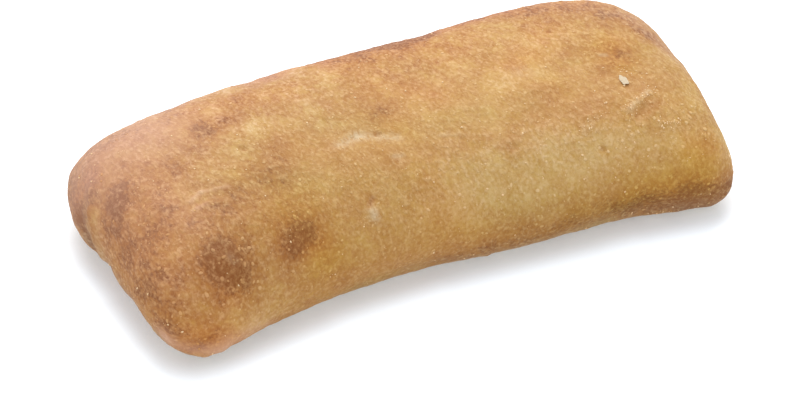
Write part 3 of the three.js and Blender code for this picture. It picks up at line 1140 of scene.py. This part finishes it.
def dress_crust(look):
    """Golden crust: clouds of browning over the marks, pale flecks, a painted sheen, and a floury base."""
    tree, shader = tree_and_shader(look)
    shades = crust_shades(tree)
    spots = shades["Spots"]
    colour = blend_colours(tree, spots, shades["Deep"], shades["Pale"])
    # Painted sheen: whitish pink mixed in at the grazing rims and along the foot.
    sheen_share = calc(tree, "MULTIPLY", attribute(tree, "painted_sheen"), PAINTED_SHEEN_STRENGTH)
    colour = blend_colours(tree, sheen_share, colour, PAINTED_SHEEN_COLOUR)
    patchy = calc(tree, "ADD", spots, shades["Strokes"])
    patchy = ramp_between(tree, patchy, *PATCHY_SPAN, *PATCHY_CREAM)
    torn = calc(tree, "MULTIPLY", attribute(tree, "cream"), patchy)
    colour = blend_colours(tree, torn, colour, CREAM_COLOUR)
    shape = {"size": 7 * MM, "detail": 4.0, "twist": 0.3, "seed": 13.5}
    flour = group(tree, MOTTLE, vector=object_place(tree), **shape)
    foot = attribute(tree, "foot")
    floury = blend_colours(tree, ramp_between(tree, flour, *FLOUR_SPAN), BASE_COLOUR, FLOUR_COLOUR)
    colour = blend_colours(tree, calc(tree, "MULTIPLY", foot, FLOUR_SHARE), colour, floury)
    tree.links.new(colour, shader.inputs["Base Color"])
    dull = total_of(tree, CRUST_ROUGHNESS, (CLOUD_ROUGHNESS, shades["Clouds"]), (SPOT_ROUGHNESS, spots))
    tree.links.new(dull, shader.inputs["Roughness"])
    shader.inputs["Specular IOR Level"].default_value = CRUST_GLOSS
    height = blend_numbers(tree, foot, shades["Height"], flour)
    grain = {"Height": height, "Distance": GRAIN_HEIGHT, "Strength": GRAIN_STRENGTH}
    tree.links.new(put(tree, "ShaderNodeBump", grain).outputs[0], shader.inputs["Normal"])


dress_crust(crust_look)
print("crust nodes", len(crust_look.node_tree.nodes))

# %% [markdown]
# The larger pale specks are blisters of a millimetre or so that stand up from the crust, and crumbs and
# grains of flour lie on it. They are scattered by one tree: points on the skin, a small lumpy ball on each,
# turned to the surface and flattened. Where they lie thickest they can also grow a little. The points
# carry the crust's numbers along, so that each blister is a paler shade of the crust around it, and each
# ball keeps a number, crown, that says how high on it a place is.

# %% One ball
BALL_RINGS = 5
LUMPS_ON_A_BALL = 0.9
CROWN_TOP = 0.9


def lumpy_ball(tree, given):
    """A ball of radius one with a lumpy skin, let down by the sunk share, that keeps its crown."""
    shape = {"Segments": given["Sides"], "Rings": BALL_RINGS, "Radius": 1.0}
    ball = put(tree, "GeometryNodeMeshUVSphere", shape).outputs[0]
    place = put(tree, "GeometryNodeInputPosition").outputs[0]
    noise = {"Vector": place, "Scale": LUMPS_ON_A_BALL, "Detail": 1.0}
    lumps = put(tree, "ShaderNodeTexNoise", noise).outputs["Color"]
    jag = scaled(tree, combine(tree, "SUBTRACT", lumps, MIDDLE_GREY), given["Roughness"])
    sunk = put(tree, "ShaderNodeCombineXYZ", {2: given["Sunk"]}).outputs[0]
    jag = combine(tree, "SUBTRACT", jag, sunk)
    ball = put(tree, "GeometryNodeSetPosition", {"Geometry": ball, "Offset": jag}).outputs[0]
    top = calc(tree, "SUBTRACT", CROWN_TOP, given["Sunk"])
    crown = ramp_between(tree, parts_of(tree, place)[2], 0.0, top)
    keep = {"Geometry": ball, "Name": "crown", "Value": crown}
    return put(tree, "GeometryNodeStoreNamedAttribute", keep).outputs[0]


# %% Sizes and turns of the balls
LARGE_ARE_RARE = 3.0
LEAST_STRETCH = 0.75
MOST_STRETCH = 1.35


def drawn(tree, given, offset, low, high):
    """A random number from low to high for each ball, by the tree's seed and an offset to it."""
    seed = calc(tree, "ADD", given["Seed"], offset)
    return put(tree, "FunctionNodeRandomValue", {2: low, 3: high, "Seed": seed}).outputs[1]


def ball_scale(tree, given, share):
    """Each ball's size along, across and up: mostly small, and larger where the share is high."""
    chance = drawn(tree, given, 1, 0.0, 1.0)
    spread = calc(tree, "SUBTRACT", given["Largest"], given["Smallest"])
    size = calc(tree, "MULTIPLY", calc(tree, "POWER", chance, LARGE_ARE_RARE), spread)
    size = calc(tree, "ADD", size, given["Smallest"])
    size = calc(tree, "MULTIPLY", size, ramp_between(tree, share, 0.0, 1.0, 1.0, given["Growth"]))
    stretch = drawn(tree, given, 2, LEAST_STRETCH, MOST_STRETCH)
    sizes = {
        0: calc(tree, "MULTIPLY", size, stretch),
        1: calc(tree, "DIVIDE", size, stretch),
        2: calc(tree, "MULTIPLY", size, given["Flatness"]),
    }
    return put(tree, "ShaderNodeCombineXYZ", sizes).outputs[0]


def ball_turn(tree, given, upright):
    """Each ball's rotation: upright on the skin, then spun about its own axis."""
    about = {0: (0, 0, 1), 1: drawn(tree, given, 3, 0.0, 2 * math.pi)}
    spin = put(tree, "FunctionNodeAxisAngleToRotation", about).outputs[0]
    return put(tree, "FunctionNodeRotateRotation", {0: upright, 1: spin}, rotation_space="LOCAL").outputs[0]


# %% Scattering tree
def scatter_tree():
    """A tree that sets small flattened balls on the skin, where the number with the given name says."""
    tree, start, end = new_group(
        "Scatter",
        "GeometryNodeTree",
        {
            "Geometry": "Geometry",
            "Number": "String",
            "Density": 60000.0,
            "Spacing": 1 * MM,
            "Smallest": 0.3 * MM,
            "Largest": 0.8 * MM,
            "Growth": 1.0,
            "Flatness": 0.35,
            "Sunk": 0.0,
            "Roughness": 0.0,
            "Sides": 8,
            "Seed": 0,
            "Material": "Material",
        },
        {"Geometry": "Geometry"},
    )
    given = start.outputs
    share = put(tree, "GeometryNodeInputNamedAttribute", {"Name": given["Number"]}).outputs[0]
    spread = {
        "Mesh": given["Geometry"],
        "Distance Min": given["Spacing"],
        "Density Max": given["Density"],
        "Density Factor": share,
        "Seed": given["Seed"],
    }
    spots = put(tree, "GeometryNodeDistributePointsOnFaces", spread, distribute_method="POISSON").outputs
    copies = {
        "Points": spots["Points"],
        "Instance": lumpy_ball(tree, given),
        "Rotation": ball_turn(tree, given, spots["Rotation"]),
        "Scale": ball_scale(tree, given, share),
    }
    many = put(tree, "GeometryNodeInstanceOnPoints", copies).outputs[0]
    finish_tree(tree, end, many, given["Material"])
    return tree


SCATTER = scatter_tree()
print("nodes in the scattering tree", len(SCATTER.nodes))

# %% [markdown]
# Pale blisters no larger than a pinhead cover the crust, thickest near its two ends. They are raised skin,
# not loose grains, so each ball is flat and sunk almost half way. Its rim takes the crust's own shade
# and its crown a paler one, so that no hard ring shows where it meets the crust.

# %% Pale blisters
SPECKLED = [
    ("near left", (-105, -50, 30), (-85, -55, 25), 26, 0.5),
    ("right corner", (95, -50, 36), (115, -50, 20), 22, 0.6),
    ("near side", (-50, -50, 30), (90, -56, 28), 14, 0.25),
    ("far edge", (-80, 40, 40), (100, 34, 40), 14, 0.2),
]
EVEN_SPECKS = 0.35
BLISTER_PALENESS = 0.95
BLISTER_GLOSS = 0.25
BLISTER_ROUGHNESS = 0.55
SPECKS_FACING = (-0.75, -0.3)
SPECKS_HEIGHT = (2 * MM, 6 * MM)


def dress_blisters(look):
    """The crust's own shade at the rim of a blister, turning paler toward its crown."""
    tree, shader = tree_and_shader(look)
    shades = crust_shades(tree)
    crown = calc(tree, "MULTIPLY", attribute(tree, "crown"), BLISTER_PALENESS)
    share = calc(tree, "MAXIMUM", shades["Spots"], crown)
    tree.links.new(blend_colours(tree, share, shades["Deep"], shades["Pale"]), shader.inputs["Base Color"])
    dull = total_of(tree, BLISTER_ROUGHNESS, (CLOUD_ROUGHNESS, shades["Clouds"]))
    tree.links.new(dull, shader.inputs["Roughness"])
    shader.inputs["Specular IOR Level"].default_value = BLISTER_GLOSS


above = smooth_step(normals[:, 2], *SPECKS_FACING) * smooth_step(points[:, 2], *SPECKS_HEIGHT)
set_attribute(crust, "specks", np.clip(EVEN_SPECKS + sum_of_marks(points, SPECKLED), 0, 1) * above)
blister_look = bpy.data.materials.new("pale_blisters")
dress_blisters(blister_look)
blisters = new_piece("pale_blisters", crust)
run_tree(
    blisters,
    SCATTER,
    number="specks",
    density=55000.0,
    spacing=1.2 * MM,
    smallest=0.24 * MM,
    largest=0.85 * MM,
    growth=1.4,
    flatness=0.35,
    sunk=0.45,
    roughness=0.5,
    seed=11,
    material=blister_look,
)
print("pale blister triangles", triangle_count(blisters.data))

# %% [markdown]
# Where the skin has burst or cracked, cream crumbs and grains of flour cling to it, and a few lie anywhere.
# A particle system would be lost in the export, so the scattering tree makes them as real mesh, rounder
# and rougher than the blisters. Their colour is lifted toward a pinkish white, so that they also stand for
# the crust's tiny glints: painted glints on real crumbs.

# %% Crumbs
CRUMBED = [
    ("burst skin", (79.5, -37.4, 44), (91.5, -31.8, 44.9), 3, 1.0),
    at("seam over the belly", 2, 0.9),
    at("groove behind the flake", 2, 0.9),
    ("curled wrinkle", (59.4, -39, 41.8), (67.9, -34, 44.1), 2, 0.6),
    ("foot, right", (55, -54, 6), (100, -59, 6), 4, 0.25),
    ("right part", (66, -44, 40), (108, -48, 34), 16, 0.12),
    spot("left blister", (-93, -47, 37), 6, 0.15),
    spot("right blister", (-65, -44, 36), 6, 0.2),
]
FEWEST_CRUMBS = 0.08
STRAY_CRUMBS = 0.012
CRUMB_BAKE = 0.05
CRUMB_ROUGHNESS = 0.4
CRUMB_UNEVENNESS = 0.1
# Painted glints: the crumbs' colour is brightened and mixed toward a pinkish white.
CRUMB_GLINT_BRIGHTNESS = 1.25
CRUMB_GLINT_CREAM = (0.94, 0.72, 0.50, 1)
CRUMB_GLINT_SHARE = 0.4


def dress_crumbs(look):
    """Cream crumbs with a slight gloss, their colour lifted toward white as painted glints."""
    tree, shader = tree_and_shader(look)
    shape = {"size": 1.5 * MM, "detail": 1.0, "twist": 0.0, "seed": 7.0}
    clouds = group(tree, MOTTLE, vector=object_place(tree), **shape)
    colour = group(tree, BAKE_COLOUR, bake=total_of(tree, CRUMB_BAKE, (CRUMB_UNEVENNESS, clouds)))
    # Painted glints: brightened cream mixed toward pinkish white.
    colour = blend_colours(tree, CRUMB_GLINT_SHARE, scaled(tree, colour, CRUMB_GLINT_BRIGHTNESS), CRUMB_GLINT_CREAM)
    tree.links.new(colour, shader.inputs["Base Color"])
    dull = total_of(tree, CRUMB_ROUGHNESS, (CRUMB_UNEVENNESS, clouds))
    tree.links.new(dull, shader.inputs["Roughness"])


clinging = np.clip(sum_of_marks(points, CRUMBED) - FEWEST_CRUMBS, 0, 1)
set_attribute(crust, "crumbs", clinging + STRAY_CRUMBS * above)
crumb_look = bpy.data.materials.new("crumbs")
dress_crumbs(crumb_look)
crumbs = new_piece("crumbs", crust)
run_tree(
    crumbs,
    SCATTER,
    number="crumbs",
    density=700000.0,
    spacing=0.5 * MM,
    smallest=0.16 * MM,
    largest=0.5 * MM,
    flatness=0.8,
    roughness=0.9,
    sides=6,
    seed=23,
    material=crumb_look,
)
print("crumb triangles", triangle_count(crumbs.data))

# %% [markdown]
# One flake of dried flour lies near the right end, about as long as a grain of rice. A scattered ball would
# be too smooth for it, so it has a mesh of its own: a ball pressed flat, with a ragged rim from a few
# seeded waves, and thicker at one end. Its place and sizes are in millimetres, as the marks are.

# %% Flour flake
FLAKE_AT = (85.2, -22.2, 46.1)
FLAKE_LENGTH = 5.8
FLAKE_WIDTH = 3.0
FLAKE_HEIGHT = 0.8
FLAKE_TURN = math.radians(-95)
FLAKE_SEED = 5
FLAKE_WAVES = 9
FLAKE_WAVE_RATE = 4.5
FLAKE_RAGGEDNESS = 0.07
FLAKE_TAPER = 0.35
FLAKE_PALE = (0.71, 0.60, 0.45, 1)
FLAKE_DARK = (0.60, 0.47, 0.30, 1)
FLAKE_SPAN = (-1.2, 1.2)
FLAKE_ROUGHNESS = 0.85
FLAKE_CRACKS = {"Distance": 0.15 * MM, "Strength": 0.6}


def flake_mesh():
    """A small flat lump of dried flour with a ragged rim, thicker at one end."""
    mesh = bpy.data.meshes.new("flour_flake")
    work = bmesh.new()
    bmesh.ops.create_icosphere(work, subdivisions=4, radius=1)
    draw = np.random.default_rng(FLAKE_SEED)
    waves = draw.uniform(-1, 1, (FLAKE_WAVES, 3)) * FLAKE_WAVE_RATE
    phases = draw.uniform(0, 2 * math.pi, FLAKE_WAVES)
    turn = Matrix.Rotation(FLAKE_TURN, 4, "Z")
    half_size = Vector((FLAKE_LENGTH, FLAKE_WIDTH, FLAKE_HEIGHT)) / 2
    for vertex in work.verts:
        ragged = 1 + FLAKE_RAGGEDNESS * float(np.sin(waves @ np.array(vertex.co) + phases).sum())
        thick = 1 + FLAKE_TAPER * (vertex.co.x - 1)
        local = vertex.co * half_size * ragged
        local.z *= thick
        vertex.co = (turn @ local + Vector(FLAKE_AT)) * MM
    work.to_mesh(mesh)
    work.free()
    mesh.shade_smooth()
    return mesh


def dress_flour(look):
    """Dry flour paste: off-white, dull, slightly cracked."""
    tree, shader = tree_and_shader(look)
    shape = {"size": 0.9 * MM, "detail": 2.0, "twist": 0.6, "seed": 8.0}
    clouds = group(tree, MOTTLE, vector=object_place(tree), **shape)
    colour = blend_colours(tree, ramp_between(tree, clouds, *FLAKE_SPAN), FLAKE_PALE, FLAKE_DARK)
    tree.links.new(colour, shader.inputs["Base Color"])
    shader.inputs["Roughness"].default_value = FLAKE_ROUGHNESS
    cracks = put(tree, "ShaderNodeBump", {"Height": clouds, **FLAKE_CRACKS}).outputs[0]
    tree.links.new(cracks, shader.inputs["Normal"])


flour_look = bpy.data.materials.new("flour")
dress_flour(flour_look)
flake = new_piece("flour_flake", flake_mesh())
flake.data.materials.append(flour_look)
print("flake triangles", triangle_count(flake.data))

# %% [markdown]
# The loaf lies on plain white, with a soft shadow toward the viewer. A white floor under a lamp would come
# out grey, so the floor also glows for the camera, and glows less close to the loaf, which paints a soft
# shadow there over the real one. For all other rays it glows faintly and evenly, and so lights the loaf
# from below though it is no lamp. It is a hair below the loaf, because two surfaces in one plane flicker,
# and it is clear from below, so that the base can be seen.

# %% Floor
FLOOR_HALF = 12.0
FLOOR_DROP = 0.1 * MM
PATCH_HALF = 0.22
PATCH_STEP = 0.004
CONTACT_HEIGHT = 1.5 * MM
SHADOW_REACH = 24 * MM
FLOOR_COLOUR = (0.74, 0.74, 0.74, 1)
FLOOR_ROUGHNESS = 0.9
FLOOR_GLOSS = 0.1
WHITE = (1, 1, 1, 1)
# The camera's cool glow tint, seen mostly in the painted shadow; the glow at the loaf and away from it; and
# the glow that lights the loaf.
GLOW_TINT = (0.88, 1, 1.12, 1)
GLOW_AT_LOAF = 0.22
GLOW_AWAY = 0.66
GLOW_ON_LOAF = 0.2


def floor_mesh(skin):
    """A wide grid, fine near the loaf, whose number open grows with the distance from the loaf and sets
    where the painted shadow fades.
    """
    fine = np.arange(-PATCH_HALF, PATCH_HALF + PATCH_STEP / 2, PATCH_STEP)
    line = np.concatenate([[-FLOOR_HALF], fine, [FLOOR_HALF]])
    count = len(line)
    ground = [(x, y, -FLOOR_DROP) for y in line for x in line]
    corners = [row * count + column for row in range(count - 1) for column in range(count - 1)]
    faces = [(corner, corner + 1, corner + count + 1, corner + count) for corner in corners]
    mesh = bpy.data.meshes.new("floor")
    mesh.from_pydata(ground, [], faces)
    contact = KDTree(len(skin))
    for index, (x, y, _) in enumerate(skin):
        contact.insert((x, y, -FLOOR_DROP), index)
    contact.balance()
    gaps = np.array([contact.find(place)[2] for place in ground])
    set_attribute(mesh, "open", smooth_step(gaps, 0, SHADOW_REACH))
    return mesh


def dress_floor(look):
    """White that glows for the camera, less near the loaf as a painted shadow, glows faintly onto the loaf,
    and is clear when seen from below.
    """
    tree, shader = tree_and_shader(look)
    shader.inputs["Base Color"].default_value = FLOOR_COLOUR
    shader.inputs["Roughness"].default_value = FLOOR_ROUGHNESS
    shader.inputs["Specular IOR Level"].default_value = FLOOR_GLOSS
    seen = put(tree, "ShaderNodeLightPath").outputs["Is Camera Ray"]
    # Painted shadow: for the camera the floor glows less close to the loaf.
    glow = ramp_between(tree, attribute(tree, "open"), 0.0, 1.0, GLOW_AT_LOAF, GLOW_AWAY)
    # For all other rays the floor glows evenly, so it lights the loaf from below though it is no lamp.
    glow = blend_numbers(tree, seen, GLOW_ON_LOAF, glow)
    tree.links.new(glow, shader.inputs["Emission Strength"])
    tint = blend_colours(tree, seen, WHITE, GLOW_TINT)
    tree.links.new(tint, shader.inputs["Emission Color"])
    clear = put(tree, "ShaderNodeBsdfTransparent").outputs[0]
    under = put(tree, "ShaderNodeNewGeometry").outputs["Backfacing"]
    both = put(tree, "ShaderNodeMixShader", {0: under, 1: shader.outputs[0], 2: clear})
    tree.links.new(both.outputs[0], tree.nodes["Material Output"].inputs["Surface"])


low = points[points[:, 2] < CONTACT_HEIGHT]
floor = new_piece("floor", floor_mesh(low))
floor_look = bpy.data.materials.new("floor")
dress_floor(floor_look)
floor.data.materials.append(floor_look)
print("floor faces", len(floor.data.polygons), "points in contact", len(low))

# %% [markdown]
# The photograph has the even light of a light tent, with a soft shadow on the near side. Area lamps would
# need their distances and sizes balanced, so the light comes from one wide sun behind the loaf and from an
# even white sky. The plain Standard view keeps the colours as the materials give them.

# %% Light
LAMP_DISTANCE = 2.0


def make_sun(name, azimuth, elevation, strength, angle):
    """A soft, distant lamp that shines from an azimuth and elevation."""
    data = bpy.data.lights.new(name, "SUN")
    data.energy = strength
    data.angle = math.radians(angle)
    lamp = bpy.data.objects.new(name, data)
    toward = heading(math.radians(azimuth), math.radians(elevation))
    lamp.rotation_euler = toward.to_track_quat("Z", "Y").to_euler()
    lamp.location = toward * LAMP_DISTANCE
    scene.collection.objects.link(lamp)
    return lamp


def make_sky(strength):
    """Even white light from all round, as in a light tent."""
    world = bpy.data.worlds.new("studio")
    scene.world = world
    world.use_nodes = True
    background = world.node_tree.nodes["Background"]
    background.inputs["Color"].default_value = WHITE
    background.inputs["Strength"].default_value = strength


key = make_sun("key", azimuth=154, elevation=45, strength=1.9, angle=50)
make_sky(strength=0.85)
scene.view_settings.view_transform = "Standard"
print("lamp", key.name, "and sky", scene.world.name)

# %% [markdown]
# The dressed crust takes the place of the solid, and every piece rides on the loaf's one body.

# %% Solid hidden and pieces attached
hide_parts("loaf")
for piece in (loaf, blisters, crumbs, flake):
    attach(piece, "root")
